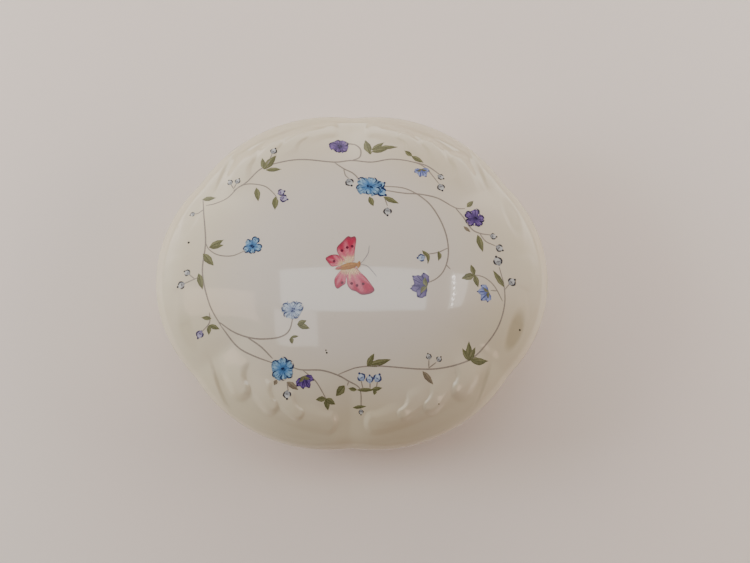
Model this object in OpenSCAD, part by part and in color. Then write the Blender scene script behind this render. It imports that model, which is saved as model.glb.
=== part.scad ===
// Porcelain trinket box with a lift-off lid.
// The base and the lid share one six-lobed oval outline, and are widest where they meet. Each
// piece is a single thick shell, swept round that outline through a short list of rings. The
// origin is on the table, under the middle of the box: X is the width, Y runs from the front
// to the back and Z is up.

/* [Overall size] */
// Width across the two side lobes
width = 100; // [80:1:130]
// Depth between the front notch and the back notch
notch_depth = 86.4; // [70:0.2:110]
// Height of the base, from the table to the seam
base_h = 26; // [22:0.5:40]
// Height of the lid, from the seam to the top of the dome
lid_h = 16; // [14:0.1:22]

/* [Lobes] */
// Share of the radius by which a lobe stands out between its notches
lobe_height = 0.04; // [0.01:0.005:0.06]
// Angle by which each side notch is turned towards the front or the back
notch_turn = 3.2; // [0:0.1:8]
// How far the crease of a notch dips below the lobes beside it
crease_dip = 1.1; // [0:0.1:1.4]

/* [Lid] */
// Fullness of the dome: 2 is a plain bowl, and more is flatter on top
dome_power = 2.1; // [2:0.1:3]
// Roundness of the edge: less rolls over more tightly into the upright edge
edge_power = 0.65; // [0.5:0.01:0.8]
// Height of the rim of the hollow under the lid, above the seam
hollow_z = 4; // [3:0.1:5]
// Depth of the locating flange under the lid
flange_depth = 3.5; // [2.5:0.1:5]
// Thickness of the locating flange
flange_w = 2.2; // [1.8:0.1:3]

/* [Base] */
// Share of the radius at the outside of the foot ring
foot = 0.77; // [0.7:0.01:0.85]
// Width of the foot ring
foot_w = 3; // [2:0.1:4]
// Height of the hollow under the base
foot_h = 2.4; // [1.5:0.1:3]
// Fullness of the bowl: less is a fuller belly
bowl_power = 0.62; // [0.5:0.01:0.8]

/* [Walls and fit] */
// Thickness of the porcelain wall
wall = 3.4; // [2.8:0.1:4]
// Width of the flat seat on which the lid rests
seat_w = 4.2; // [3.6:0.1:5]
// Gap between the flange and the mouth of the base
flange_gap = 0.6; // [0.3:0.1:1]
// How far the lid stands out over the base all round
overhang = 0.5; // [0.2:0.1:1]
// Height of the upright edge on either side of the seam
edge_h = 1; // [0.9:0.1:1.5]

/* [Hidden] */

porcelain = [0.93, 0.91, 0.86];
lobes = 6;
steps_round = 96;
notch_softness = 0.004;
lobe_power = 0.35;
half_w = width / 2 / (1 + lobe_height);
half_d = notch_depth / 2;
edge_round = 0.4;
flange_out = seat_w + flange_gap;
flange_in = flange_out + flange_w;

// 0 below low, 1 above high, and a smooth ramp between them
function ramp(low, high, v) =
    let (t = min(1, max(0, (v - low) / (high - low))))
    t * t * (3 - 2 * t);

// 1 in the middle of a lobe and nearly 0 in a notch, where p counts notches evenly
function lobe(p) =
    pow((pow(cos(p * lobes / 2), 2) + notch_softness) / (1 + notch_softness), lobe_power);

// The true plan angle of the even angle p
function plan_angle(p) = p + notch_turn * sin(2 * p);

function oval(angle) = half_w * half_d / norm([half_d * cos(angle), half_w * sin(angle)]);

// Radius of the outline, with lobing from 0, a plain oval, to 1, the full lobes
function outline(p, lobing) = oval(plan_angle(p)) * (1 + lobe_height * lobing * lobe(p));

// A ring is [share of the radius, inset in mm, height, lobing, dip in the notches]
function ring_point(ring, p) =
    let (r = outline(p, ring[3]) * ring[0] - ring[1], a = plan_angle(p))
    [r * cos(a), r * sin(a), ring[2] - ring[4] * (1 - lobe(p))];

// The rings start at the middle of an upper surface, run out over it, round the edge and
// back under it to the middle of the lower surface
module swept_shell(rings, first_z, last_z) {
    n = steps_round;
    last = len(rings) * n + 1;
    points = [
        [0, 0, first_z],
        for (ring = rings, i = [0:n - 1]) ring_point(ring, i * 360 / n),
        [0, 0, last_z]
    ];
    first_fan = [for (i = [0:n - 1]) [0, 1 + (i + 1) % n, 1 + i]];
    bands = [
        for (k = [0:len(rings) - 2], i = [0:n - 1])
        let (
            a = 1 + k * n + i,
            b = 1 + k * n + (i + 1) % n
        )
        each [[a, b, b + n], [a, b + n, a + n]]
    ];
    last_fan = [for (i = [0:n - 1]) [last - n + i, last - n + (i + 1) % n, last]];
    polyhedron(points, concat(first_fan, bands, last_fan), convexity = 6);
}

// ---- lid ----

module lid() {
    seam = base_h;
    top_steps = 16;
    under_steps = 6;
    under_rim = 0.82;
    under_rim_z = seam + hollow_z;
    under_top_z = seam + lid_h - wall;
    top = [
        for (i = [1:top_steps])
        let (
            s = sin(90 * i / top_steps),
            rise = pow(max(0, 1 - pow(s, dome_power)), edge_power)
        )
        [s, 0, seam + edge_h + (lid_h - edge_h) * rise, ramp(0.5, 0.95, s),
            crease_dip * ramp(0.55, 0.85, s) * (1 - ramp(0.85, 1, s))]
    ];
    seat_edge = [[1, edge_round, seam, 1, 0]];
    flange = [
        [1, flange_out, seam, 1, 0],
        [1, flange_out, seam - flange_depth + edge_round, 1, 0],
        [1, flange_out + edge_round, seam - flange_depth, 1, 0],
        [1, flange_in - edge_round, seam - flange_depth, 1, 0],
        [1, flange_in, seam - flange_depth + edge_round, 1, 0],
        [1, flange_in, seam + 1, 1, 0]
    ];
    underside = [
        for (i = [under_steps:-1:1])
        let (u = i / under_steps)
        [under_rim * u, 0, under_top_z - (under_top_z - under_rim_z) * pow(u, dome_power),
            ramp(0.5, 1, u), 0]
    ];
    color(porcelain)
        swept_shell(
            concat(top, seat_edge, flange, underside),
            seam + lid_h, under_top_z
        );
}

// ---- base ----

module base() {
    floor_z = foot_h + wall;
    corner = 0.7;
    corner_z = floor_z + 0.8;
    inner_steps = 6;
    outer_steps = 12;
    mouth_z = base_h - flange_depth - 1;
    bowl_h = base_h - edge_h - foot_h;
    floor_rings = [
        [0.3, 0, floor_z, 0, 0],
        [0.6, 0, floor_z + 0.1, 0.4, 0],
        [corner, 0, corner_z, 0.7, 0]
    ];
    inner_wall = [
        for (i = [1:inner_steps])
        let (t = i / inner_steps, rise = pow(t, 0.6))
        [corner + (1 - corner) * sin(90 * rise), seat_w * rise,
            corner_z + (mouth_z - corner_z) * t, 0.7 + 0.3 * t, 0]
    ];
    seat = [
        [1, seat_w, base_h - edge_round, 1, 0],
        [1, seat_w - edge_round, base_h, 1, 0],
        [1, overhang + edge_round, base_h, 1, 0],
        [1, overhang, base_h - edge_h, 1, 0]
    ];
    outer_wall = [
        for (i = [1:outer_steps])
        let (t = 1 - i / outer_steps)
        [foot + (1 - foot) * sin(90 * pow(t, bowl_power)), overhang, foot_h + bowl_h * t,
            0.6 + 0.4 * t, 0]
    ];
    foot_ring = [
        [foot, overhang, edge_round, 0.6, 0],
        [foot, overhang + edge_round, 0, 0.6, 0],
        [foot, foot_w - edge_round, 0, 0.6, 0],
        [foot, foot_w, edge_round, 0.6, 0],
        [foot, foot_w + 0.6, foot_h - 0.3, 0.6, 0],
        [foot - 0.16, 0, foot_h, 0.3, 0]
    ];
    color(porcelain)
        swept_shell(
            concat(floor_rings, inner_wall, seat, outer_wall, foot_ring),
            floor_z, foot_h
        );
}

base();
lid();
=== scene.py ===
"""Looks for the porcelain trinket box: two glazed shells with relief, and the fired decoration."""

import math

import bpy
import numpy as np
from mathutils import Matrix, Vector


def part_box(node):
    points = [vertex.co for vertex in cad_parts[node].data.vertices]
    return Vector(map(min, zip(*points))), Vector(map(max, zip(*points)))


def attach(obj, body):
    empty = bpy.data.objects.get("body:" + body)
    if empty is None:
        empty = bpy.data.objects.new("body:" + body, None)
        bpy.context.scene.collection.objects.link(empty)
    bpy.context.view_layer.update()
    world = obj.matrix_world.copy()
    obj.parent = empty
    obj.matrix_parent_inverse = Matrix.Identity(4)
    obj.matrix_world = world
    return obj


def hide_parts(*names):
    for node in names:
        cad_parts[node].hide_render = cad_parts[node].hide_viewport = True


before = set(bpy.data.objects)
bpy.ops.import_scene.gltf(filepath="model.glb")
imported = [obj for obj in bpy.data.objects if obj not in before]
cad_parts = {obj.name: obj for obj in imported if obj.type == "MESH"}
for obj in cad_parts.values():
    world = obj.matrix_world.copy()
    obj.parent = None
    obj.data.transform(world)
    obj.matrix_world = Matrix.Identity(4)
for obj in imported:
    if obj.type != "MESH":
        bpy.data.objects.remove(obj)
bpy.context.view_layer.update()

# The box's lengths are in millimetres, and its meshes are scaled to metres as they are made. The
# floor, the lights and the camera are in metres.
MM = 0.001

base_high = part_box("base")[1] / MM
lid_low, lid_high = (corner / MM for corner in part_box("lid"))

SEAM = base_high.z
LID_H = lid_high.z - SEAM
FLANGE_DEPTH = SEAM - lid_low.z
OVERHANG = lid_high.x - base_high.x

# ---------------------------------------------------------------- outline

# The CAD's own outline, with slightly softer notches
LOBE_HEIGHT = 0.04
LOBE_POWER = 0.35
NOTCH_SOFTNESS = 0.008
NOTCH_TURN = 3.2
# Depth across the end notches, which are the front and the back one, as a share of the depth
# across the lobes beside them
NOTCH_SHARE = 0.985
HALF_W = lid_high.x / (1 + LOBE_HEIGHT)
HALF_D = lid_high.y * NOTCH_SHARE


def ramp(low, high, v):
    """0 below low, 1 above high, and a smooth ramp between them."""
    t = np.clip((v - low) / (high - low), 0, 1)
    return t * t * (3 - 2 * t)


def lobe(p):
    """1 in the middle of a lobe and nearly 0 in a notch. p counts notches evenly, in degrees."""
    wave = np.cos(np.radians(3 * p)) ** 2
    return ((wave + NOTCH_SOFTNESS) / (1 + NOTCH_SOFTNESS)) ** LOBE_POWER


def plan_angle(p):
    """True plan angle, in radians, of the even angle p in degrees."""
    return np.radians(p + NOTCH_TURN * np.sin(np.radians(2 * p)))


def outline(p, lobing):
    """Radius of the outline, from a plain oval at lobing 0 to the full lobes at 1."""
    a = plan_angle(p)
    oval = HALF_W * HALF_D / np.hypot(HALF_D * np.cos(a), HALF_W * np.sin(a))
    return oval * (1 + LOBE_HEIGHT * lobing * lobe(p))


def fold(p):
    """Even angle from the nearer end notch: 0 there, 60 in a side notch, 90 mid side lobe."""
    return np.abs(p % 180 - 90)


# ---------------------------------------------------------------- relief

# Sizes of one degree round the shoulder and of one whole radius, for the relief's own plane
MM_PER_DEGREE = 0.62
MM_PER_RADIUS = 43
# How much lower the relief is on the back half, as a share
BACK_WEAR = 0.45
DIMPLE_DEPTH = 0.3
# Middle of the dimple beside a side notch, in degrees from the end notch and share of the radius
DIMPLE_AT = (71.5, 0.893)
# Even angle towards which the dimples deepen, on the front right
DEEPEST_DIMPLE = -23.5
BAND_DEPTH = 0.5
CREASE_DIP = 1.1
# Tongues of the relief, from the end notch round to the middle of the side lobe. Where two meet,
# the higher one shows. Root and tip are in degrees from the end notch and in shares of the
# radius. Then come the radius and the height in mm, and how steep the head's dome side is.
TONGUES = [
    ((34, 0.868), (9, 0.876), 2.6, 0.45, 0.8),
    ((38, 0.78), (22, 0.842), 2.4, 0.6, 1.7),
    ((49, 0.775), (33, 0.85), 2.6, 0.55, 1.5),
    ((62, 0.785), (46, 0.858), 3.3, 0.7, 1.5),
    ((86, 0.85), (76, 0.9), 1.8, 0.12, 0.5),
    ((98, 0.86), (87, 0.895), 1.9, 0.12, 0.5),
]


def tongue(q, s, root, tip, radius, height, steepness):
    """A soft tongue that grows out of the dome at its root and ends in a round head."""
    scale = np.array([MM_PER_DEGREE, MM_PER_RADIUS])
    start, end = root * scale, tip * scale
    axis = end - start
    x, y = q * scale[0] - start[0], s * scale[1] - start[1]
    along = (x * axis[0] + y * axis[1]) / (axis @ axis)
    on_axis = np.clip(along, 0, 1)
    x, y = x - on_axis * axis[0], y - on_axis * axis[1]
    y = np.where(y < 0, y * (0.5 + (steepness - 0.5) * ramp(0.6, 1, along)), y)
    body = 1 - ramp(0.35, 1, np.hypot(x, y) / (radius * (0.5 + 0.5 * on_axis)))
    return height * body * ramp(0, 1, along)


def tongues(q, s):
    """Height of the highest tongue over the dome."""
    return np.max([tongue(q, s, *row) for row in TONGUES], axis=0)


def dimple(p, s):
    """The long shallow hollow beside a side notch of the lid. The front right one is the deepest."""
    turned = fold(p) - DIMPLE_AT[0]
    across = turned / 8
    along = (s - DIMPLE_AT[1] + 0.0026 * turned) / 0.045
    front_right = np.clip(np.cos(np.radians(p - DEEPEST_DIMPLE)), 0, 1) ** 6
    depth = DIMPLE_DEPTH * (0.25 + 0.75 * front_right)
    return depth * (1 - ramp(0.5, 1, np.hypot(across, along)))


def sunk_band(q, s):
    """The wall below the tongues starts at a fold beside the side notch and lies a little deeper."""
    fold_line = 57 - 150 * (s - 0.9)
    across = ramp(0.86, 0.91, s) * (1 - ramp(0.955, 1.0, s))
    along = (1 - ramp(fold_line - 2.5, fold_line + 2, q)) * ramp(2, 20, q)
    return BAND_DEPTH * across * along


def relief(p, s):
    """Height of the modelled relief over the plain dome. It is softer on the back half."""
    q = fold(p)
    worn = 1 - BACK_WEAR * ramp(-0.1, 0.3, np.sin(np.radians(p)))
    return worn * (tongues(q, s) - sunk_band(q, s))


def pooling(p, s):
    """Share of pooled glaze, in the sunk band and where a spot lies below the relief round it."""
    spots = [(4, 0), (-4, 0), (0, 0.03), (0, -0.03), (3, 0.02), (-3, 0.02), (3, -0.02), (-3, -0.02)]
    around = sum(relief(p + turn, s + step) for turn, step in spots) / len(spots)
    hollow = np.clip((around - relief(p, s)) / 0.5, 0, 1)
    return 0.15 * hollow + 0.3 * sunk_band(fold(p), s)


def notch_crease(p, s):
    """How far a notch dips below the lobes beside it."""
    return CREASE_DIP * ramp(0.55, 0.85, s) * (1 - ramp(0.85, 1, s)) * (1 - lobe(p))


# ---------------------------------------------------------------- meshes


def ring(p, share, inset, z, lobing, cream_and_shade=0.7, pool=0.0, bare=0.0):
    """Points of one ring of a shell, with their shares of ivory and painted shade, pooled glaze and
    bare porcelain.
    """
    r = outline(p, lobing) * share - inset
    a = plan_angle(p)
    columns = (r * np.cos(a), r * np.sin(a), z, cream_and_shade, pool, bare)
    return np.stack([np.broadcast_to(c, r.shape) for c in columns], 1)


def pole(z):
    """The one point in the middle of a shell's upper or lower surface."""
    return np.array([[0, 0, z, 0, 0, 0]], float)


def bridge(a, count_a, b, count_b):
    """Faces between two rings that start at vertices a and b. One may have twice the points."""
    faces = []
    if count_a == count_b:
        n = count_a
        faces = [(b + i, b + (i + 1) % n, a + (i + 1) % n, a + i) for i in range(n)]
    elif count_b == 2 * count_a:
        for i in range(count_a):
            j = (i + 1) % count_a
            faces.append((a + i, b + 2 * i, b + 2 * i + 1))
            faces.append((a + i, b + 2 * i + 1, a + j))
            faces.append((a + j, b + 2 * i + 1, b + (2 * i + 2) % count_b))
    else:
        for i in range(count_b):
            j = (i + 1) % count_b
            faces.append((a + 2 * i + 1, a + 2 * i, b + i))
            faces.append((b + j, a + 2 * i + 1, b + i))
            faces.append((a + (2 * i + 2) % count_a, a + 2 * i + 1, b + j))
    return faces


def shell(name, rings, first_z, last_z):
    """A closed shell from rings that run out over the upper surface and back under it."""
    points = [pole(first_z)] + rings + [pole(last_z)]
    starts = np.cumsum([0] + [len(r) for r in points])
    n = len(rings[0])
    faces = [(0, 1 + i, 1 + (i + 1) % n) for i in range(n)]
    for k in range(1, len(rings)):
        faces += bridge(starts[k], len(points[k]), starts[k + 1], len(points[k + 1]))
    n = len(rings[-1])
    low = int(starts[-3])
    last = int(starts[-2])
    faces += [(low + (i + 1) % n, low + i, last) for i in range(n)]
    points = np.concatenate(points)
    mesh = bpy.data.meshes.new(name)
    mesh.from_pydata(points[:, :3] * MM, [], [tuple(map(int, f)) for f in faces])
    mesh.shade_smooth()
    mesh.update()
    paint(mesh, np.c_[points[:, 3:], np.ones(len(points))])
    obj = bpy.data.objects.new(name, mesh)
    bpy.context.scene.collection.objects.link(obj)
    return obj


def paint(mesh, colours):
    """Stores one colour per vertex, which the material reads."""
    layer = mesh.color_attributes.new("paint", "FLOAT_COLOR", "POINT")
    layer.data.foreach_set("color", np.asarray(colours, np.float32).ravel())


def even(count):
    """Even angles of the points of a ring."""
    return np.arange(count) * 360 / count


FINE, MEDIUM, COARSE = even(900), even(450), even(225)

# ---------------------------------------------------------------- lid

# Fullness of the dome and roundness of its edge, and the CAD's other sizes of the two shells
DOME_POWER = 2.1
EDGE_POWER = 0.65
EDGE_H = 1.0
EDGE_ROUND = 0.4
# Inset and drop halfway round a rounded edge
ROUND_MID = 0.12
# Inset, and distance from the seam, of the steps that round the two edges beside the seam
SEAM_EDGE = [(0, 0.5), (0.08, 0.2), (0.25, 0.05), (0.5, 0)]
WALL = 3.4
# How far the mouth of the base is set in from the lid's outline
SEAT_W = 4.2
FLANGE_GAP = 0.6
FLANGE_W = 2.2
FLANGE_OUT = SEAT_W + FLANGE_GAP
FLANGE_IN = FLANGE_OUT + FLANGE_W
# Share of the radius at the rim of the hollow under the lid, and its height above the seam
HOLLOW = 0.82
HOLLOW_Z = 4


def dome_z(p, s):
    """Height of the lid's upper surface, with its relief, dimples and creases."""
    rise = np.clip(1 - s**DOME_POWER, 0, 1) ** EDGE_POWER
    return SEAM + EDGE_H + (LID_H - EDGE_H) * rise + relief(p, s) - dimple(p, s) - notch_crease(p, s)


def dome_ring(p, s):
    """Ring of the lid's upper surface, creamier and darker outwards, in part painted shade, and browner
    where glaze gathers.
    """
    # The outward share is partly the glaze's ivory tone and partly painted shade where the dome slopes
    # away from the light
    cream_and_shade = ramp(0.4, 0.92, s)
    pool = np.maximum(pooling(p, s), 3 * dimple(p, s))
    return ring(p, s, 0, dome_z(p, s), ramp(0.5, 0.95, s), cream_and_shade, pool)


def make_lid():
    """The lid, from the top of the dome out to the edge and back over the flange and hollow."""
    rings = [dome_ring(COARSE, s) for s in np.linspace(0.03, 0.42, 12)]
    rings += [dome_ring(MEDIUM, s) for s in np.linspace(0.45, 0.74, 20)]
    rings += [dome_ring(FINE, s) for s in np.linspace(0.75, 0.965, 68)]
    rings += [dome_ring(MEDIUM, s) for s in (0.972, 0.98, 0.987, 0.993, 0.997, 1.0)]
    rings += [ring(MEDIUM, 1, inset, SEAM + gap, 1, bare=float(gap == 0)) for inset, gap in SEAM_EDGE]
    rings += [
        ring(MEDIUM, 1, FLANGE_OUT - 0.2, SEAM, 1, bare=1),
        ring(MEDIUM, 1, FLANGE_OUT, SEAM - 0.2, 1, bare=1),
        ring(MEDIUM, 1, FLANGE_OUT, SEAM - FLANGE_DEPTH + EDGE_ROUND, 1, bare=1),
        ring(MEDIUM, 1, FLANGE_OUT + ROUND_MID, SEAM - FLANGE_DEPTH + ROUND_MID, 1),
        ring(MEDIUM, 1, FLANGE_OUT + EDGE_ROUND, SEAM - FLANGE_DEPTH, 1),
        ring(MEDIUM, 1, FLANGE_IN - EDGE_ROUND, SEAM - FLANGE_DEPTH, 1),
        ring(MEDIUM, 1, FLANGE_IN - ROUND_MID, SEAM - FLANGE_DEPTH + ROUND_MID, 1),
        ring(MEDIUM, 1, FLANGE_IN, SEAM - FLANGE_DEPTH + EDGE_ROUND, 1),
        ring(MEDIUM, 1, FLANGE_IN, SEAM + 1, 1),
    ]
    under_top = SEAM + LID_H - WALL
    under_rim = SEAM + HOLLOW_Z
    for u in np.linspace(1, 0.05, 16):
        z = under_top - (under_top - under_rim) * u**DOME_POWER
        rings.append(ring(COARSE, HOLLOW * u, 0, z, ramp(0.5, 1, u)))
    return shell("lid_porcelain", rings, SEAM + LID_H, under_top)


# ---------------------------------------------------------------- base

# Outline of the foot ring as a share of the radius, how far its inside is set in from there, and
# the height of the hollow that it leaves under the base
FOOT = 0.77
FOOT_W = 3.0
FOOT_H = 2.4
BOWL_POWER = 0.62
# Share of the radius at the corner between the well's floor and its wall
CORNER = 0.7
# Height of the base's tongues as a share of the lid's, and how far its belly is drawn in
BASE_RELIEF = 0.55
BELLY = 0.6


def bowl_ring(p, t):
    """Ring of the bowl's outside at t, from 0 at the foot to 1 at the upright edge."""
    bowl_h = SEAM - EDGE_H - FOOT_H
    z = FOOT_H + bowl_h * t
    share = FOOT + (1 - FOOT) * math.sin(math.pi / 2 * t**BOWL_POWER)
    s = 0.72 + 0.28 * t
    outset = BASE_RELIEF * tongues(fold(p), s) - BELLY * math.sin(math.pi * t)
    # The bowl's outside takes the whole ivory share, which is partly painted shade
    return ring(p, share, OVERHANG - outset, z, 0.6 + 0.4 * t, 1)


def make_base():
    """The base, from the floor of the well up over the seat, and down the outside to the foot."""
    floor_z = FOOT_H + WALL
    corner_z = floor_z + 0.8
    mouth_z = SEAM - FLANGE_DEPTH - 1
    rings = [ring(COARSE, s, 0, floor_z, 0) for s in (0.1, 0.2, 0.3, 0.4, 0.5)]
    rings += [
        ring(COARSE, 0.6, 0, floor_z + 0.1, 0.4),
        ring(COARSE, 0.66, 0, floor_z + 0.35, 0.6),
        ring(COARSE, CORNER, 0, corner_z, 0.7),
    ]
    for t in np.linspace(0.06, 1, 18):
        rise = t**0.6
        share = CORNER + (1 - CORNER) * math.sin(math.pi / 2 * rise)
        z = corner_z + (mouth_z - corner_z) * t
        rings.append(ring(MEDIUM, share, SEAT_W * rise, z, 0.7 + 0.3 * t))
    rings += [
        ring(MEDIUM, 1, SEAT_W, SEAM - EDGE_ROUND, 1),
        ring(MEDIUM, 1, SEAT_W - ROUND_MID, SEAM - ROUND_MID, 1),
        ring(MEDIUM, 1, SEAT_W - EDGE_ROUND, SEAM, 1, bare=1),
    ]
    for inset, gap in reversed(SEAM_EDGE):
        rings.append(ring(MEDIUM, 1, OVERHANG + inset, SEAM - gap, 1, bare=float(gap == 0)))
    rings += [bowl_ring(FINE, t) for t in np.linspace(1, 0.3, 60)]
    rings += [bowl_ring(MEDIUM, t) for t in np.linspace(0.27, 0, 14)]
    rings += [
        ring(MEDIUM, FOOT, OVERHANG, EDGE_ROUND, 0.6),
        ring(MEDIUM, FOOT, OVERHANG + ROUND_MID, ROUND_MID, 0.6),
        ring(MEDIUM, FOOT, OVERHANG + EDGE_ROUND, 0, 0.6, bare=1),
        ring(MEDIUM, FOOT, FOOT_W - EDGE_ROUND, 0, 0.6, bare=1),
        ring(MEDIUM, FOOT, FOOT_W - ROUND_MID, ROUND_MID, 0.6),
        ring(MEDIUM, FOOT, FOOT_W, EDGE_ROUND, 0.6),
        ring(COARSE, FOOT, FOOT_W + 0.6, FOOT_H - 0.3, 0.6),
        ring(COARSE, FOOT - 0.16, 0, FOOT_H, 0.3),
        ring(COARSE, 0.3, 0, FOOT_H, 0),
    ]
    return shell("base_porcelain", rings, floor_z, FOOT_H)


# ---------------------------------------------------------------- materials


class Graph:
    """Shorthand for building the nodes of a material or a world."""

    def __init__(self, owner, shader):
        owner.use_nodes = True
        self.owner = owner
        self.tree = owner.node_tree
        self.shader = self.tree.nodes[shader]

    def node(self, kind, **settings):
        node = self.tree.nodes.new(kind)
        for key, value in settings.items():
            setattr(node, key, value)
        return node

    def link(self, source, target):
        self.tree.links.new(source, target)

    def put(self, value, socket):
        """Links an output to a socket, or sets the socket to a plain value."""
        if isinstance(value, bpy.types.NodeSocket):
            self.link(value, socket)
        else:
            socket.default_value = value

    def paint(self):
        """The colour that each vertex stores."""
        node = self.node("ShaderNodeAttribute", attribute_name="paint")
        return node.outputs["Color"]

    def channels(self, colour):
        node = self.node("ShaderNodeSeparateColor")
        self.link(colour, node.inputs["Color"])
        return node.outputs["Red"], node.outputs["Green"], node.outputs["Blue"]

    def noise(self, scale, detail):
        """Noise over the piece's own coordinates. scale is in waves per metre."""
        place = self.node("ShaderNodeTexCoord").outputs["Object"]
        node = self.node("ShaderNodeTexNoise")
        node.inputs["Scale"].default_value = scale
        node.inputs["Detail"].default_value = detail
        self.link(place, node.inputs["Vector"])
        return node.outputs["Fac"]

    def spread(self, value, low, high, to_low, to_high, kind="LINEAR"):
        """Maps the range from low to high onto the range from to_low to to_high."""
        node = self.node("ShaderNodeMapRange", interpolation_type=kind)
        self.put(value, node.inputs["Value"])
        for socket, number in zip(node.inputs[1:5], (low, high, to_low, to_high)):
            socket.default_value = number
        return node.outputs["Result"]

    def maths(self, operation, a, b):
        node = self.node("ShaderNodeMath", operation=operation)
        self.put(a, node.inputs[0])
        self.put(b, node.inputs[1])
        return node.outputs["Value"]

    def mix(self, share, a, b, blend="MIX"):
        node = self.node("ShaderNodeMix", data_type="RGBA", blend_type=blend)
        self.put(share, node.inputs["Factor"])
        self.put(a, node.inputs["A"])
        self.put(b, node.inputs["B"])
        return node.outputs["Result"]

    def bump(self, height, distance, strength):
        node = self.node("ShaderNodeBump")
        node.inputs["Strength"].default_value = strength
        node.inputs["Distance"].default_value = distance
        self.link(height, node.inputs["Height"])
        self.link(node.outputs["Normal"], self.shader.inputs["Normal"])


PORCELAIN = (0.63, 0.535, 0.45, 1)
# Creamier, darker glaze towards the rim and on the base's outside: partly the glaze's ivory tone,
# partly painted shade
CREAM_AND_SHADE = (0.61, 0.495, 0.34, 1)
POOLED = (0.42, 0.33, 0.20, 1)
MOTTLED = (0.53, 0.44, 0.33, 1)
BISQUE = (0.60, 0.54, 0.45, 1)


def glaze_material():
    """Clear glossy glaze, creamier towards the rim and in hollows, and matt where it is bare. Its
    darkening towards the rim is partly painted shade.
    """
    g = Graph(bpy.data.materials.new("glaze"), "Principled BSDF")
    cream_and_shade, pool, bare = g.channels(g.paint())
    cloud = g.noise(45, 4)
    # The ivory share carries painted shade towards the rim as well as the glaze's tone
    cream_and_shade = g.maths("MULTIPLY", cream_and_shade, g.spread(cloud, 0.3, 0.7, 0.75, 1.1))
    colour = g.mix(cream_and_shade, PORCELAIN, CREAM_AND_SHADE)
    colour = g.mix(g.maths("MULTIPLY", pool, 0.85), colour, POOLED)
    specks = g.spread(g.noise(900, 2), 0.68, 0.8, 0, 0.35)
    colour = g.mix(specks, colour, MOTTLED)
    g.link(g.mix(bare, colour, BISQUE), g.shader.inputs["Base Color"])
    roughness = g.spread(g.noise(130, 3), 0.3, 0.7, 0.05, 0.11)
    g.link(g.maths("ADD", roughness, g.maths("MULTIPLY", bare, 0.6)), g.shader.inputs["Roughness"])
    g.link(g.maths("SUBTRACT", 1, bare), g.shader.inputs["Coat Weight"])
    g.shader.inputs["IOR"].default_value = 1.5
    g.shader.inputs["Coat Roughness"].default_value = 0.04
    g.bump(g.noise(160, 2), 0.00002, 0.5)
    return g.owner


def enamel_material():
    """Coloured enamel painted over the glaze and fired: brushy tone, nearly as glossy."""
    g = Graph(bpy.data.materials.new("enamel"), "Principled BSDF")
    strokes = g.spread(g.noise(2600, 3), 0.3, 0.7, 0.82, 1.15)
    tone = g.node("ShaderNodeCombineColor")
    for socket in tone.inputs[:3]:
        g.link(strokes, socket)
    g.link(g.mix(1.0, g.paint(), tone.outputs["Color"], "MULTIPLY"), g.shader.inputs["Base Color"])
    g.link(g.spread(g.noise(700, 2), 0.3, 0.7, 0.1, 0.2), g.shader.inputs["Roughness"])
    g.shader.inputs["IOR"].default_value = 1.5
    return g.owner


def finish_piece(obj, body, material):
    """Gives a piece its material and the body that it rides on."""
    obj.data.materials.append(material)
    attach(obj, body)


# ---------------------------------------------------------------- painted decoration

# The enamel stands this far proud of the glaze, and its plates reach this far into it
PAINT_LIFT = 0.02
PAINT_SINK = 0.03
LAYER = 0.008


def lid_height(x, y):
    """Height of the lid's upper surface over a plan point."""
    a = np.degrees(np.arctan2(y, x))
    p = a
    for _ in range(6):
        p = a - NOTCH_TURN * np.sin(np.radians(2 * p))
    r = np.hypot(x, y)
    s = r / HALF_W
    for _ in range(10):
        s = r / outline(p, ramp(0.5, 0.95, s))
    return dome_z(p, s)


def settle(plan, lift):
    """Plan points laid on the lid and lifted along its normal."""
    x, y = plan[..., 0], plan[..., 1]
    step = 0.05
    slope_x = (lid_height(x + step, y) - lid_height(x - step, y)) / (2 * step)
    slope_y = (lid_height(x, y + step) - lid_height(x, y - step)) / (2 * step)
    normal = np.stack([-slope_x, -slope_y, np.ones_like(x)], -1)
    normal /= np.linalg.norm(normal, axis=-1, keepdims=True)
    return np.stack([x, y, lid_height(x, y)], -1) + lift * normal


def blend(a, b, share):
    """Mixes two colours, or arrays of them, by a share from 0 to 1."""
    share = np.clip(np.asarray(share, float), 0, 1)[..., None]
    return np.asarray(a, float) * (1 - share) + np.asarray(b, float) * share


def line(start, direction, distance):
    """The point at a distance from the start, with the direction in radians."""
    return start[0] + distance * math.cos(direction), start[1] + distance * math.sin(direction)


def smooth_path(points, spacing):
    """A smooth curve through given points, sampled at even steps of about the spacing."""
    points = np.asarray(points, float)
    points = np.concatenate([2 * points[:1] - points[1:2], points, 2 * points[-1:] - points[-2:-1]])
    pieces = []
    t = np.linspace(0, 1, 17)[:-1, None]
    for a, b, c, d in zip(points, points[1:], points[2:], points[3:]):
        pieces.append(0.5 * (2 * b + (c - a) * t + (2 * a - 5 * b + 4 * c - d) * t**2
                             + (3 * b - a - 3 * c + d) * t**3))
    path = np.concatenate(pieces + [points[-2:-1]])
    steps = np.concatenate([[0], np.cumsum(np.linalg.norm(np.diff(path, axis=0), axis=1))])
    even_steps = np.linspace(0, steps[-1], max(3, round(steps[-1] / spacing) + 1))
    return np.stack([np.interp(even_steps, steps, path[:, k]) for k in (0, 1)], 1)


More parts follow.
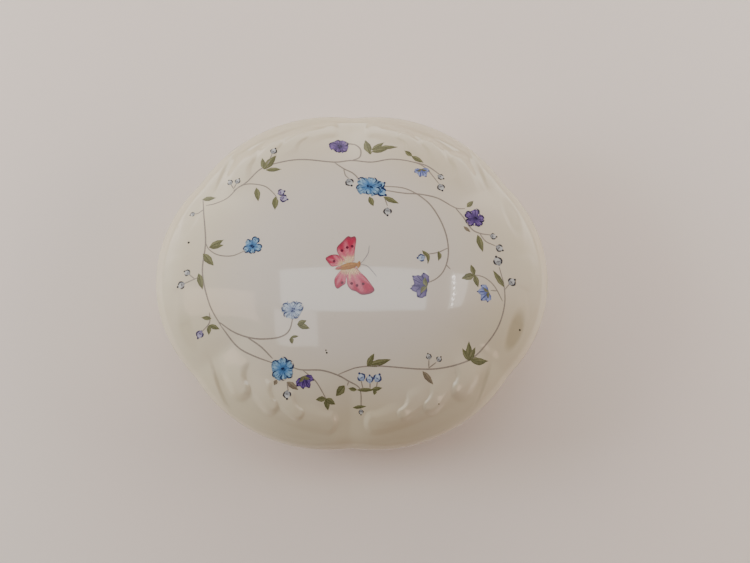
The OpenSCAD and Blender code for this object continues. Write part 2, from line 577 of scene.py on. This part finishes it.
class Motif:
    """One painted motif: thin plates of fired enamel that follow the lid."""

    def __init__(self):
        self.points = np.zeros((0, 3))
        self.colours = np.zeros((0, 4))
        self.faces = []

    def plate(self, grid, colours, layer=0):
        """Adds a closed plate over a grid of plan points, with a colour for each of them."""
        colours = np.broadcast_to(colours, grid.shape[:2] + (3,))
        x, y = grid[..., 0], grid[..., 1]
        turns = (x[1:, :-1] - x[:-1, :-1]) * (y[:-1, 1:] - y[:-1, :-1])
        turns = turns - (y[1:, :-1] - y[:-1, :-1]) * (x[:-1, 1:] - x[:-1, :-1])
        if turns.sum() < 0:
            grid, colours = grid[:, ::-1], colours[:, ::-1]
        rows, cols = grid.shape[:2]
        count = rows * cols
        at = len(self.points) + np.arange(count).reshape(rows, cols)
        quads = np.stack([at[:-1, :-1], at[1:, :-1], at[1:, 1:], at[:-1, 1:]], -1).reshape(-1, 4)
        self.faces += [tuple(map(int, q)) for q in quads]
        self.faces += [tuple(map(int, q[::-1] + count)) for q in quads]
        rim = [*at[:-1, 0], *at[-1, :-1], *at[:0:-1, -1], *at[0, :0:-1]]
        for a, b in zip(rim, rim[1:] + rim[:1]):
            self.faces.append((int(b), int(a), int(a + count), int(b + count)))
        top = settle(grid, PAINT_LIFT + LAYER * layer)
        low = settle(grid, -PAINT_SINK)
        self.points = np.concatenate([self.points, top.reshape(-1, 3), low.reshape(-1, 3)])
        rgba = np.concatenate([colours, np.ones((rows, cols, 1))], -1).reshape(-1, 4)
        self.colours = np.concatenate([self.colours, rgba, rgba])

    def blade(self, start, length, turn, width, shade, widest=0.4, blunt=1.0, bend=0.0, ragged=0.0,
              layer=0):
        """A leaf or petal. shade(along, across) gives the colour, across running from -1 to 1."""
        along = np.linspace(0, 1, 15)[:, None]
        across = np.array([-1, -0.82, -0.5, -0.18, 0, 0.18, 0.5, 0.82, 1])[None]
        rise = np.sin(np.pi / 2 * np.clip(along / widest, 0, 1))
        fall = np.cos(np.pi / 2 * np.clip((along - widest) / (1 - widest), 0, 1)) ** blunt
        waves = 1 + ragged * np.sin(19 * along + 2 * np.sign(across) + turn)
        half = width / 2 * (0.06 + 0.94 * rise * fall) * waves
        forward = length * along * (1 - ragged * along**3 * (1 + np.cos(7 * across + turn)))
        side = half * across + bend * length * np.sin(np.pi * along)
        c, d = math.cos(math.radians(turn)), math.sin(math.radians(turn))
        x = start[0] + forward * c - side * d
        y = start[1] + forward * d + side * c
        self.plate(np.stack([x, y], -1), shade(along, across), layer)

    def ribbon(self, route, width, colour, taper=0.5, layer=0):
        """A brush line along a smooth route, thinner at its ends."""
        path = smooth_path(route, 0.5)
        ahead = np.gradient(path, axis=0)
        ahead /= np.linalg.norm(ahead, axis=1, keepdims=True)
        side = np.stack([-ahead[:, 1], ahead[:, 0]], 1)
        t = np.linspace(0, 1, len(path))
        half = width / 2 * (taper + (1 - taper) * np.sin(np.pi * t) ** 0.4)
        across = np.array([-1, 0, 1])[None, :, None]
        grid = path[:, None] + across * (half[:, None] * side)[:, None]
        self.plate(grid, colour, layer)

    def dot(self, x, y, size, colour, layer=0):
        """A round touch of the brush."""
        a = np.linspace(0, 2 * np.pi, 13)[None]
        r = size / 2 * np.array([0.08, 0.6, 1])[:, None]
        self.plate(np.stack([x + r * np.cos(a), y + r * np.sin(a)], -1), colour, layer)

    def finish(self, name):
        """Makes the motif's own piece, which rides on the lid."""
        mesh = bpy.data.meshes.new(name)
        mesh.from_pydata(self.points * MM, [], self.faces)
        mesh.shade_smooth()
        mesh.set_sharp_from_angle(angle=math.radians(50))
        mesh.update()
        paint(mesh, self.colours)
        obj = bpy.data.objects.new(name, mesh)
        bpy.context.scene.collection.objects.link(obj)
        finish_piece(obj, "lid", enamel)


OLIVE = ((0.205, 0.19, 0.09), (0.10, 0.093, 0.042))
BROWN_LEAF = ((0.27, 0.21, 0.14), (0.15, 0.11, 0.075))
STEM = (0.27, 0.215, 0.175)
# Petal colours: light, middle and outline
BLUE = ((0.23, 0.36, 0.48), (0.07, 0.18, 0.37), (0.012, 0.025, 0.08))
VIOLET = ((0.16, 0.09, 0.26), (0.07, 0.035, 0.14), (0.02, 0.01, 0.045))
MAUVE = ((0.18, 0.13, 0.26), (0.10, 0.07, 0.17), (0.03, 0.02, 0.065))
PALE = ((0.46, 0.50, 0.56), (0.28, 0.33, 0.46), (0.05, 0.06, 0.14))
PERIWINKLE = ((0.28, 0.31, 0.51), (0.12, 0.14, 0.34), (0.03, 0.035, 0.12))
GREY = ((0.50, 0.47, 0.44), (0.27, 0.26, 0.26), (0.05, 0.042, 0.045))
LILAC = ((0.40, 0.34, 0.44), (0.22, 0.17, 0.28), (0.05, 0.035, 0.08))


def leaf_shade(colours):
    """Shade of a leaf: darker at its edge, along its rib, on one half and towards its tip."""
    light, dark = colours

    def shade(along, across):
        edge = ramp(0.7, 1, np.abs(across))
        rib = 1 - ramp(0, 0.2, np.abs(across))
        half = 0.45 * (across < 0)
        return blend(light, dark, 0.8 * edge + 0.8 * rib + half + 0.4 * along)

    return shade


def petal_shade(colours, ink=1.0):
    """Shade of a petal: darker streaks, an inked outline and a dark throat."""
    light, middle, outline_colour = colours

    def shade(along, across):
        streaks = 0.4 * np.cos(9 * across)
        body = blend(middle, light, ramp(0.2, 0.75, along) - np.clip(streaks, 0, 1))
        edge = np.maximum(ramp(0.72, 1, np.abs(across)), ramp(0.88, 1, along) + 0 * across)
        edge = edge * ramp(0.1, 0.4, along)
        throat = 1 - ramp(0.02, 0.35, along) + 0 * across
        return blend(body, outline_colour, ink * np.maximum(0.9 * edge, 0.75 * throat))

    return shade


def leaf(x, y, length, turn, width, bend=0.0, colours=OLIVE):
    """A leaf with a dark midrib over its lower half."""
    motif = Motif()
    motif.blade((x, y), length, turn, 1.15 * width, leaf_shade(colours), bend=bend, ragged=0.05)
    motif.ribbon([(x, y), line((x, y), math.radians(turn), length / 2)], 0.16, colours[1], layer=1)
    return motif


def open_flower(x, y, radius, squash, turn, colours, petals, seed):
    """A flower seen from above: ragged veined petals, broken outlines and a dark eye."""
    rng = np.random.default_rng(seed)
    motif = Motif()
    for k in range(petals):
        angle = turn + 360 / petals * k + rng.uniform(-10, 10)
        reach = radius * rng.uniform(0.84, 1.1)
        reach *= math.hypot(math.cos(math.radians(angle)), squash * math.sin(math.radians(angle)))
        width = radius * rng.uniform(0.8, 1.0)
        shade = petal_shade(colours, ink=rng.uniform(0.7, 1))
        motif.blade((x, y), reach, angle, width, shade, widest=0.7, blunt=0.5, ragged=0.15, layer=k % 3)
        for lean in rng.permutation([-20, -11, 0, 11, 20])[:3]:
            vein = math.radians(angle + lean)
            ends = [line((x, y), vein, reach * share) for share in sorted(rng.uniform(0.25, 0.95, 2))]
            motif.ribbon(ends, 0.2, blend(colours[1], colours[2], 0.6), taper=0.2, layer=3)
        for side in (-1, 1)[: rng.integers(1, 3)]:
            edge = [line((x, y), math.radians(angle + side * lean), reach * share)
                    for lean, share in ((27, 0.55), (27, 0.8), (18, 0.95), (4, 1.02))]
            motif.ribbon(edge, 0.32, colours[2], taper=0.25, layer=4)
    for k in range(5):
        spot = line((x, y), rng.uniform(0, 2 * math.pi), radius * rng.uniform(0.04, 0.22))
        motif.dot(*spot, rng.uniform(0.3, 0.5), colours[2], layer=5)
    return motif


def side_flower(x, y, radius, turn, spread, colours, petals, seed):
    """A flower seen from the side: pointed petals fan out of a green calyx."""
    rng = np.random.default_rng(seed)
    motif = Motif()
    for k in range(petals):
        out = 2 * k / (petals - 1) - 1
        angle = turn + spread / 2 * out + rng.uniform(-5, 5)
        reach = radius * (1.08 - 0.22 * abs(out)) * rng.uniform(0.94, 1.05)
        width = radius * rng.uniform(0.5, 0.62)
        shade = petal_shade(colours, ink=rng.uniform(0.6, 0.9))
        motif.blade((x, y), reach, angle, width, shade, widest=0.6, blunt=0.8, ragged=0.08, layer=k % 2)
        for lean in rng.uniform(-12, 12, 2):
            vein = math.radians(angle + lean)
            ends = [line((x, y), vein, reach * share) for share in (0.35, rng.uniform(0.75, 0.95))]
            motif.ribbon(ends, 0.2, blend(colours[1], colours[2], 0.6), taper=0.2, layer=2)
        motif.dot(*line((x, y), math.radians(angle), 0.93 * reach), 0.36, colours[2], layer=2)
    for side in (-1, 1):
        motif.blade((x, y), 0.55 * radius, turn + side * (0.4 * spread + 14), 0.26 * radius,
                    leaf_shade(OLIVE), bend=-0.12 * side, layer=3)
    return motif


def bud(x, y, size, turn, colours):
    """A closed bud: a pale middle held by broken dark strokes, with a dark touch at the tip."""
    motif = Motif()
    foot = line((x, y), math.radians(turn), -size / 2)
    shade = petal_shade(colours, 0.3)
    motif.blade(foot, size, turn, 0.8 * size, shade, widest=0.5, blunt=0.6, ragged=0.08)
    for side, start, end in ((-1, 15, 150), (1, 55, 140)):
        angles = (start, (start + end) / 2, end)
        arc = [line((x, y), math.radians(turn + side * a), 0.43 * size) for a in angles]
        motif.ribbon(arc, 0.2 * size, colours[2], taper=0.25, layer=1)
    cross = [line((x, y), math.radians(turn + a), 0.22 * size) for a in (100, 250)]
    motif.ribbon(cross, 0.15 * size, blend(colours[1], colours[2], 0.6), taper=0.4, layer=1)
    motif.dot(*line(foot, math.radians(turn), 0.98 * size), 0.26 * size, colours[2], layer=2)
    return motif


# Stems, each through a few points in mm from the middle of the lid
STEMS = {
    "vine_left": [(-38, 19.5), (-37.5, 15.5), (-36.5, 7), (-37, -1), (-35, -9), (-32, -14.5)],
    "vine_left_low": [(-32, -14.5), (-28, -19.5), (-24, -22), (-19, -24)],
    "vine_left_inner": [(-32.5, -13.5), (-29, -16), (-25.5, -17.5), (-22, -18.2), (-17.5, -18),
                        (-15, -16.5), (-14, -13)],
    "vine_left_link": [(-25.5, -17.5), (-22, -20), (-19, -23)],
    "vine_top": [(-37, 17.5), (-34.5, 17.8), (-31.5, 19), (-29, 21.5), (-26.5, 23), (-23, 26.5),
                 (-18, 28), (-12.5, 28.5), (-4.5, 27.5), (0, 28), (5, 27.5), (10, 28.5), (15, 28),
                 (18.5, 26.5), (22, 22)],
    "vine_top_fork": [(15, 28), (19, 27), (22.5, 24.5)],
    "vine_top_loop": [(0, 28), (2, 29), (2.2, 31.5), (0.5, 33.3), (-2.5, 33.3)],
    "vine_top_flower": [(-4.5, 27.5), (-2, 25.5), (0.5, 24), (2.5, 21.5)],
    "twig_top": [(-2, 25.5), (-1.5, 23.5), (-0.5, 22.5)],
    "twig_branch": [(-30, 21), (-27, 22.3), (-24, 22), (-21.5, 21), (-19.5, 19), (-18.5, 17.5)],
    "vine_inner": [(7.5, 20.5), (13.5, 20), (18.5, 17), (21.5, 13), (23.5, 8), (24, 3), (23, -1),
                   (21, -3.5), (18, -5)],
    "vine_outer": [(7.5, 19.5), (13, 18.7), (17, 18.6), (21.5, 17.8), (26, 15.5), (28.5, 15.5)],
    "vine_outer_low": [(26, 15.5), (28, 13), (30, 10), (32, 9), (35, 8.8)],
    "twig_outer": [(32, 9), (33.5, 7), (36, 6)],
    "vine_right": [(36.8, 0.5), (37.2, -1), (38, -4.5), (38, -9), (36.5, -14), (33.5, -18.5),
                   (29, -22.8), (22.5, -25), (16.5, -25.5), (7, -25), (2, -25.3), (-0.5, -26),
                   (-3, -27)],
    "vine_right_end": [(2.5, -30.5), (1.5, -29.5), (-0.5, -28.5), (-3, -27.2), (-7, -26), (-12, -25.8),
                       (-14.5, -25)],
    "twig_right_bud": [(38.2, -5), (39, -4), (39.5, -3.5)],
    "twig_left_flower": [(-36.5, 7), (-35.5, 5), (-33, 3.3), (-29.5, 2.8), (-26.5, 3.8)],
    "twig_left_bud": [(-37.5, 16.5), (-39, 15.5), (-40, 15.5)],
    "twig_left_buds": [(-38, -2), (-39.5, -2.5), (-42, -3.3)],
    "twig_left_fork": [(-39, -2.3), (-40.5, -1)],
    "twig_low_left": [(-35, -11), (-35, -13.5), (-37, -15.5)],
    "twig_low_leaf": [(-11.5, -26), (-8.5, -28.5), (-6, -32.5)],
    "twig_low_curl": [(-0.5, -28.5), (-0.8, -29.5)],
    "twig_low_bud": [(2, -30), (2.5, -31.5), (2.5, -34.5)],
    "twig_low_flower": [(-15.5, -28.5), (-15.2, -30.8)],
    "twig_three_left": [(3, -30.3), (2.5, -28.3)],
    "twig_three_middle": [(4.7, -30.3), (4.7, -28.6)],
    "twig_three_right": [(6.2, -30.2), (6.5, -28.5)],
    "twig_two_left": [(19, -25.2), (19, -23.2)],
    "twig_two_right": [(19, -25.2), (20.8, -23.8)],
    "twig_blue": [(30.5, -2), (33, -2.5), (35.5, -4.5), (37.5, -8)],
    "twig_blue_foot": [(36.2, -5.6), (34.5, -5.6)],
    "twig_inner_bud": [(24, 4.5), (21.5, 3.2), (19, 2.6)],
    "twig_inner_curl": [(23.3, 0.2), (24.5, -1)],
    "twig_small_bud": [(8.2, 17.5), (9, 15)],
    "twig_pair": [(-30, 21.5), (-30.8, 23)],
    "twig_pair_right": [(-30, 21.5), (-29.2, 23)],
    "twig_single": [(-21.5, 27), (-20.3, 30.8)],
}

# Leaves: foot x and y, length, direction in degrees, width, and bend
LEAVES = [
    (-38.2, 19.5, 3.8, 0, 1.2), (-22.3, 26.3, 3.6, 100, 1.1), (-22.3, 26.2, 5, 52, 1.8),
    (-21.8, 26, 4.2, 358, 1.1), (-24, 21, 4, 280, 1.3), (-19, 18, 3.8, 270, 1.4),
    (-35.5, 5.5, 4.2, 25, 1.4), (-35.5, 5.5, 3.8, 5, 1.2), (-37, 4, 4.4, 310, 1.6),
    (-38, -1, 4.3, 285, 1.4), (-34.5, -12.5, 2.7, 170, 0.9), (-35, -14, 2.4, 265, 1),
    (-35, -14, 2.9, 335, 1), (-13, -15, 2.5, 20, 1.1), (-13, -15, 3.4, 340, 1.2),
    (-14.5, -18, 1.7, 280, 0.9), (-14.5, -18, 1.9, 5, 0.6), (-6, -32.5, 2.5, 185, 1.1),
    (-6, -32.5, 2.6, 330, 1.2), (-6, -32.5, 2.7, 280, 1.2), (-1.5, -29.5, 3.2, 230, 1.6),
    (4, -25, 3.4, 60, 1.2), (4, -25, 6, 15, 1.4), (29, -23, 3.5, 120, 1.1),
    (29, -23, 4.7, 90, 1.4), (29, -23, 3.8, 65, 1.1), (29, -22.5, 5, 0, 1.6, -0.08),
    (1.5, -30.5, 2.2, 170, 0.8), (1.5, -30.5, 4.5, 0, 0.8), (5, -30.5, 2.7, 10, 0.9),
    (6, -30.5, 1.2, 255, 0.8), (0.5, -34.5, 3.4, 5, 0.7), (21.5, 3.5, 2.6, 270, 0.9, 0.12),
    (17.5, 3.5, 3.7, 292, 0.9, 0.2), (30.5, -2, 2.7, 110, 1.1), (30.5, -2, 3.6, 200, 1.5),
    (30.5, -2, 3.2, 285, 1.2), (38, -4.5, 5.1, 125, 1.2), (4.5, 30.3, 4.4, 105, 1.7),
    (5, 31.2, 4.2, 38, 1.2), (6.5, 32, 5.2, 4, 1.1), (5, 30.7, 4.4, 12, 1.2),
    (4.5, 31, 1.2, 285, 0.8), (15.3, 29.6, 2.6, 138, 1.1), (15.2, 29.7, 3.6, 328, 1.2),
    (4.5, 17.5, 2.9, 290, 1.2), (8, 17.5, 4.2, 335, 1.2), (29, 16, 2.8, 50, 1.1),
    (31.5, 8.5, 4.6, 285, 1.4),
]
BROWN_LEAVES = [
    (-18, -28, 1.4, 240, 0.9), (-15.5, -28.5, 3.4, 325, 1.2), (17.5, -26, 4, 310, 1.2),
    (28, 10.5, 2.3, 320, 0.8),
]

# Buds: x and y of the middle, size, direction of the tip in degrees, and colours
BUDS = [
    (-20, 31.5, 1.9, 60, GREY), (-31, 23.5, 1.6, 120, GREY), (-29, 23.5, 1.6, 60, GREY),
    (-40.5, 15.5, 1.4, 200, GREY), (-17.6, 19.1, 2.0, 20, LILAC), (-16.9, 17.4, 2.2, 340, LILAC),
    (-0.5, 21.5, 2.3, 300, GREY), (9, 13.5, 2.2, 270, GREY), (22.5, 24, 1.8, 330, GREY),
    (22.5, 21, 2.1, 290, GREY), (35.5, 8.5, 1.8, 0, GREY), (37, 5.5, 2.1, 330, GREY),
    (36.5, 2, 2.5, 110, GREY), (40, -3, 2.2, 40, GREY), (17.3, 1.6, 2.0, 185, PALE),
    (7.6, 18.8, 2.6, 320, BLUE), (7.4, 20.9, 2.2, 30, BLUE),
    (-41, -0.5, 1.8, 150, GREY), (-42.5, -3.5, 2.1, 200, GREY), (-37.5, -16, 2.1, 240, LILAC),
    (-15.5, -31.5, 2.1, 270, GREY), (2.6, -27.6, 2.1, 120, PALE), (4.6, -28.1, 1.9, 90, PALE),
    (6.5, -27.8, 2.1, 60, PALE), (2.5, -35.5, 1.3, 270, GREY), (19, -22.5, 1.5, 110, GREY),
    (21.5, -23, 1.5, 50, GREY),
]

OPEN_FLOWERS = [
    (4.6, 20.3, 3.5, 0.75, 20, BLUE, 6), (-24.5, 5, 2.4, 0.95, 60, BLUE, 5),
    (-16.5, -25.5, 3.1, 0.9, 35, BLUE, 6), (31, 13, 2.6, 1, 10, VIOLET, 5),
    (-14.2, -11.5, 2.9, 0.65, 15, PALE, 5), (-3.1, 32.4, 2.6, 0.75, 35, VIOLET, 5),
]
SIDE_FLOWERS = [
    (18.6, -5.6, 4.3, 165, 125, MAUVE, 4), (-11.5, -27.3, 3.2, 285, 100, VIOLET, 4),
    (34, -6, 3, 205, 120, PERIWINKLE, 4), (17.6, 25.9, 2.5, 280, 130, PERIWINKLE, 4),
]

# Butterfly: each wing's root and its edge from the front of the root round to the back
WINGS = {
    "fore_upper": ((-0.4, -0.2), [(0.8, 0.5), (1, 3.4), (1.3, 5.9), (0.9, 6.8), (0, 6.6), (-0.8, 6.8),
                                  (-2.2, 5.4), (-3.4, 4), (-3.4, 2.8), (-2.7, 1.6), (-1.7, 0)]),
    "hind_upper": ((-2, -0.5), [(-1.9, 0.5), (-2.8, 1.7), (-3.6, 2.1), (-4.9, 2), (-6.2, 1.2),
                                (-5.7, 0.2), (-4.7, -0.9), (-3.4, -0.8)]),
    "fore_lower": ((-0.3, -1), [(1.4, -1.2), (2.2, -2.2), (3.6, -3.6), (5, -5.4), (5.8, -6.8),
                                (4.8, -7.7), (2.7, -8), (1.2, -7.2), (0.1, -6.8), (-0.8, -5.6),
                                (-1, -4.1), (-1.4, -2.6)]),
    "hind_lower": ((-1.6, -1.3), [(-1, -2), (-1.2, -4), (-1.3, -5.2), (-2.1, -5.8), (-3.2, -6.5),
                                  (-3.9, -5.7), (-4, -4.1), (-3.2, -2.8), (-2.4, -1.8)]),
}
WING_SPOTS = [
    (-0.9, 3.9), (0.3, 4.2), (-2.2, 3.1), (-4.1, 0.4), (-2.1, -5), (0.2, -5.2), (1.5, -5.7), (3, -5.3),
]
CRIMSON = (0.40, 0.018, 0.055)
PINK = (0.54, 0.13, 0.17)
CREAM_WING = (0.60, 0.41, 0.22)
TAN = (0.31, 0.14, 0.055)
WING_EDGE = (0.17, 0.05, 0.07)
WING_SPOT = (0.13, 0.01, 0.03)
LOWER_STREAK = (0.75, 0.60, 0.36)
UPPER_STREAK = (0.75, 0.62, 0.42)
BODY = (0.47, 0.23, 0.085)
FEELER = (0.30, 0.26, 0.25)


def butterfly():
    """Four spotted wings with pale streaks at their roots, a body, a head and two feelers."""
    motif = Motif()
    for layer, (root, edge) in enumerate(WINGS.values()):
        edge = smooth_path(edge, 0.25)
        share = np.array([0.06, 0.2, 0.35, 0.5, 0.62, 0.74, 0.84, 0.92, 0.97, 1])[:, None]
        grid = np.asarray(root) + share[..., None] * (edge - root)[None]
        reach = np.linalg.norm(grid - root, axis=-1)
        reach = reach / reach.max()
        veins = 0.12 * np.cos(np.linspace(0, 9 * np.pi, len(edge)))[None] * ramp(0.2, 0.5, share)
        colours = blend(CREAM_WING, PINK, ramp(0.12, 0.34, reach + veins))
        colours = blend(colours, CRIMSON, 0.95 * ramp(0.4, 0.85, reach + 1.5 * veins))
        colours = blend(colours, WING_EDGE, 0.9 * ramp(0.88, 1, share + 0 * reach))
        motif.plate(grid, colours, layer % 2)
    for x, y in WING_SPOTS:
        motif.dot(x, y, 0.72, WING_SPOT, layer=3)
    for k in range(7):
        foot = (-1.2 + 0.38 * k, -1.3)
        motif.ribbon([foot, (foot[0] + 0.5 + 0.06 * k, -2.9)], 0.11, LOWER_STREAK, layer=3)
        foot = (-1.3 + 0.3 * k, 0.1)
        motif.ribbon([foot, (foot[0] + 0.08 * k - 0.2, 1.7)], 0.11, UPPER_STREAK, layer=3)
    shade = leaf_shade((BODY, TAN))
    motif.blade((-3.8, -1.6), 5.8, 13, 1.65, shade, widest=0.6, blunt=0.6, layer=4)
    motif.blade((-3.9, -1.6), 1.9, 15, 0.9, leaf_shade((PINK, TAN)), widest=0.5, layer=5)
    motif.blade((1.7, -1.5), 2, 78, 0.9, shade, widest=0.5, blunt=0.6, layer=5)
    motif.ribbon([(2.2, -0.4), (3.2, 0.8), (4.2, 2.4), (4.5, 4.4)], 0.2, FEELER)
    motif.ribbon([(2.2, -0.4), (3.8, -0.7), (5, -1.8), (6.3, -3.4)], 0.2, FEELER)
    return motif


# Iron specks in the glaze: x, y and size
SPECKS = [(-6, -21.3, 0.35), (-5.8, -21.9, 0.45), (42, -14.5, 0.5), (-41, 7.5, 0.6), (21.5, -33.5, 0.3)]
IRON = (0.03, 0.025, 0.02)

VINE_W = 0.38
TWIG_W = 0.3


def make_decoration():
    """Every painted motif on the lid, each a piece of its own."""
    for name, route in STEMS.items():
        motif = Motif()
        width = VINE_W if name.startswith("vine") else TWIG_W
        motif.ribbon(route, width, STEM)
        motif.finish(name)
    for k, place in enumerate(LEAVES):
        leaf(*place).finish(f"leaf_{k + 1:02d}")
    for k, place in enumerate(BROWN_LEAVES):
        leaf(*place, colours=BROWN_LEAF).finish(f"brown_leaf_{k + 1}")
    for k, place in enumerate(BUDS):
        bud(*place).finish(f"bud_{k + 1:02d}")
    for k, place in enumerate(OPEN_FLOWERS):
        open_flower(*place, seed=k).finish(f"open_flower_{k + 1}")
    for k, place in enumerate(SIDE_FLOWERS):
        side_flower(*place, seed=k).finish(f"side_flower_{k + 1}")
    butterfly().finish("butterfly")
    for k, (x, y, size) in enumerate(SPECKS):
        motif = Motif()
        motif.dot(x, y, size, IRON)
        motif.finish(f"speck_{k + 1}")


# ---------------------------------------------------------------- floor, lights and camera


def make_floor():
    """A plain pale floor under the box."""
    half = 1.5
    mesh = bpy.data.meshes.new("floor")
    corners = [(-half, -half, 0), (half, -half, 0), (half, half, 0), (-half, half, 0)]
    mesh.from_pydata(corners, [], [(0, 1, 2, 3)])
    floor = bpy.data.objects.new("floor", mesh)
    bpy.context.scene.collection.objects.link(floor)
    mat = bpy.data.materials.new("floor")
    mat.use_nodes = True
    shader = mat.node_tree.nodes["Principled BSDF"]
    shader.inputs["Base Color"].default_value = (0.78, 0.65, 0.57, 1)
    shader.inputs["Roughness"].default_value = 0.9
    mesh.materials.append(mat)


NEUTRAL = (1, 0.975, 0.955)
COOL = (0.8, 0.93, 1)
WARM = (1, 0.68, 0.5)
ROOM_TINT = (1, 0.96, 0.915, 1)


def area_light(name, place, size, power, colour=NEUTRAL, glossy=False, down=False):
    """A rectangular light, facing the box or straight down. place is from the seam, in m."""
    data = bpy.data.lights.new(name, "AREA")
    data.shape = "RECTANGLE"
    data.size, data.size_y = size
    data.energy = power
    data.color = colour
    light = bpy.data.objects.new(name, data)
    bpy.context.scene.collection.objects.link(light)
    light.location = Vector(place) + Vector((0, 0, SEAM * MM))
    away = Vector((0, 0, 1)) if down else Vector(place).normalized()
    right = Vector((1, 0, 0))
    right = (right - away * right.dot(away)).normalized()
    turn = Matrix((right, away.cross(right), away)).transposed()
    light.rotation_mode = "QUATERNION"
    light.rotation_quaternion = turn.to_quaternion()
    light.visible_glossy = glossy
    light.visible_camera = False


def make_world():
    """The room: a bright low horizon behind, an even glow above it, lit sides and a dark front."""
    world = bpy.data.worlds.new("studio")
    g = Graph(world, "Background")
    towards = g.node("ShaderNodeSeparateXYZ")
    g.link(g.node("ShaderNodeTexCoord").outputs["Generated"], towards.inputs["Vector"])
    right, back, up = towards.outputs

    def fade(value, low, high, strength):
        return g.spread(value, low, high, 0, strength, kind="SMOOTHSTEP")

    left = g.maths("MULTIPLY", right, -1)
    down = g.maths("MULTIPLY", up, -1)
    horizon = g.maths("MULTIPLY", fade(back, 0.1, 0.7, 2.0), fade(down, -0.6, 0, 1))
    room = g.maths("ADD", horizon, fade(back, -0.04, 0.04, 0.29))
    sides = g.maths("ADD", fade(left, 0.2, 0.9, 0.55), fade(right, 0.2, 0.9, 0.15))
    colour = g.mix(1.0, g.maths("ADD", room, sides), ROOM_TINT, "MULTIPLY")
    g.link(colour, g.shader.inputs["Color"])
    bpy.context.scene.world = world


def make_lights():
    """Panels and panes that show in the glaze, small warm glints, and fill lights that do not."""
    make_world()
    area_light("panel", (0, 0.064, 0.6), (0.47, 0.16), 0.46, COOL, glossy=True)
    area_light("panel_corner", (-0.19, -0.09, 0.6), (0.15, 0.15), 0.1, glossy=True)
    area_light("panel_left", (-0.6, -0.01, 0.6), (0.45, 0.2), 0.34, WARM, glossy=True)
    area_light("panel_right", (0.375, 0.065, 0.6), (0.07, 0.165), 0.075, glossy=True)
    for k in range(6):
        place = (0.345, 0.128 - 0.025 * k, 0.59)
        area_light(f"pane_{k + 1}", place, (0.007, 0.012), 0.004, glossy=True)
    area_light("glint", (0.36, -0.32, 0.32), (0.1, 0.14), 0.09, WARM, glossy=True)
    area_light("glint_front", (0.17, -0.42, 0.36), (0.06, 0.08), 0.03, WARM, glossy=True)
    area_light("glint_fill", (0.36, -0.32, 0.32), (0.2, 0.26), 0.27, WARM)
    area_light("low_left", (-0.45, 0, 0.2), (0.3, 0.2), 1.75, COOL)
    area_light("low_right", (0.45, 0, 0.2), (0.3, 0.2), 0.85)
    area_light("floor_back", (0, 0.25, 0.16), (0.35, 0.1), 0.38, down=True)
    area_light("floor_left", (-0.27, 0.12, 0.16), (0.1, 0.2), 0.28, down=True)
    area_light("floor_right", (0.27, 0.12, 0.16), (0.1, 0.2), 0.34, COOL, down=True)


def make_camera():
    """Looks down at the box from the front, about as a phone held over it would."""
    elevation = math.radians(75.5)
    distance = 0.35
    aim = Vector((0.0059, -0.0006, SEAM * MM))
    away = Vector((0, -math.cos(elevation), math.sin(elevation)))
    data = bpy.data.cameras.new("camera")
    data.lens = 65.7
    data.sensor_width = 36
    camera = bpy.data.objects.new("camera", data)
    bpy.context.scene.collection.objects.link(camera)
    camera.location = aim + away * distance
    camera.rotation_mode = "QUATERNION"
    camera.rotation_quaternion = away.to_track_quat("Z", "Y")
    bpy.context.scene.camera = camera


glaze = glaze_material()
enamel = enamel_material()
lid = make_lid()
finish_piece(lid, "lid", glaze)
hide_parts("lid")
base = make_base()
finish_piece(base, "base", glaze)
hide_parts("base")
make_decoration()
make_floor()
make_lights()
make_camera()
